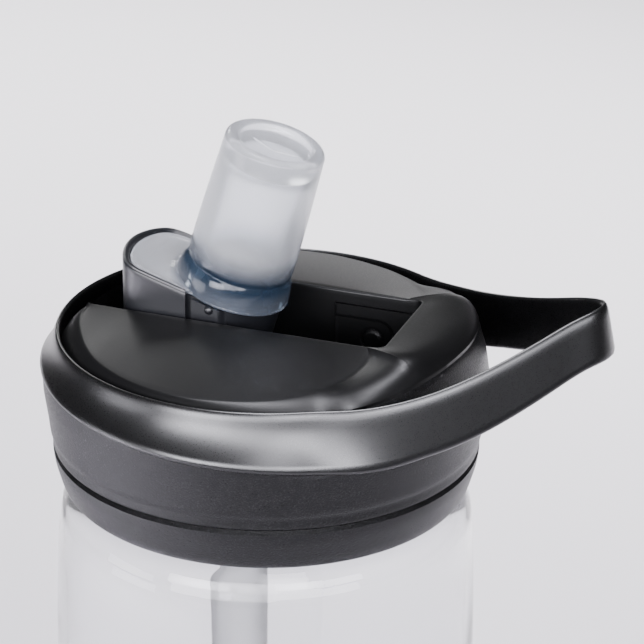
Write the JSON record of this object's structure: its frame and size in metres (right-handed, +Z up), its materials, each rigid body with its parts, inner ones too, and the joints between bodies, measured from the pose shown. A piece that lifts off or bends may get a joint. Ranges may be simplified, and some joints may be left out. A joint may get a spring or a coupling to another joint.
{
  "type": "water bottle",
  "caption": "Clear screw-cap water bottle with a flip-up straw bite valve in a trough and a fixed teardrop carry loop.",
  "frame": {"origin": "centre of the base, on the surface the bottle stands on", "axes": "+Z up along the bottle's axis; +X towards the carry loop"},
  "size_m": [0.1005, 0.0794, 0.2636],
  "materials": {
    "vessel_clear": "clear gloss",
    "straw_frosted": "translucent frosted",
    "cap_textured": "fine spark texture",
    "loop_satin": "satin",
    "deck_matte": "fine matte",
    "spout_black": "matte",
    "silicone_clear": "translucent frosted",
    "silicone_grey": "matte"
  },
  "bodies": {
    "vessel": {"bottle_body": "vessel_clear"},
    "lift": {"cap_gasket": "silicone_grey"},
    "cap": {"cap_core": "cap_textured", "cap_shell": "cap_textured", "carry_loop": "loop_satin", "top_deck": "deck_matte", "spout_seal": "silicone_grey", "vent_valve": "silicone_grey", "straw": "straw_frosted"},
    "spout": {"spout_barrel": "spout_black", "spout_cover": "spout_black", "bite_valve": "silicone_clear"}
  },
  "joints": [
    {"name": "cap_lift", "type": "slide", "parent": "vessel", "child": "lift", "axis": [0, 0, 1], "range_m": [0, 0.00625]},
    {"name": "cap_turn", "type": "hinge", "parent": "lift", "child": "cap", "pos_m": [0, 0, 0.2], "axis": [0, 0, 1], "range_deg": [0, 450]},
    {"name": "spout_flip", "type": "hinge", "parent": "cap", "child": "spout", "pos_m": [-0.01454, 0, 0.2276], "axis": [0, 1, 0], "range_deg": [0, 74]}
  ],
  "couplings": [
    {"joint": "cap_lift", "follows": "cap_turn", "m_per_rad": 0.00079577}
  ]
}
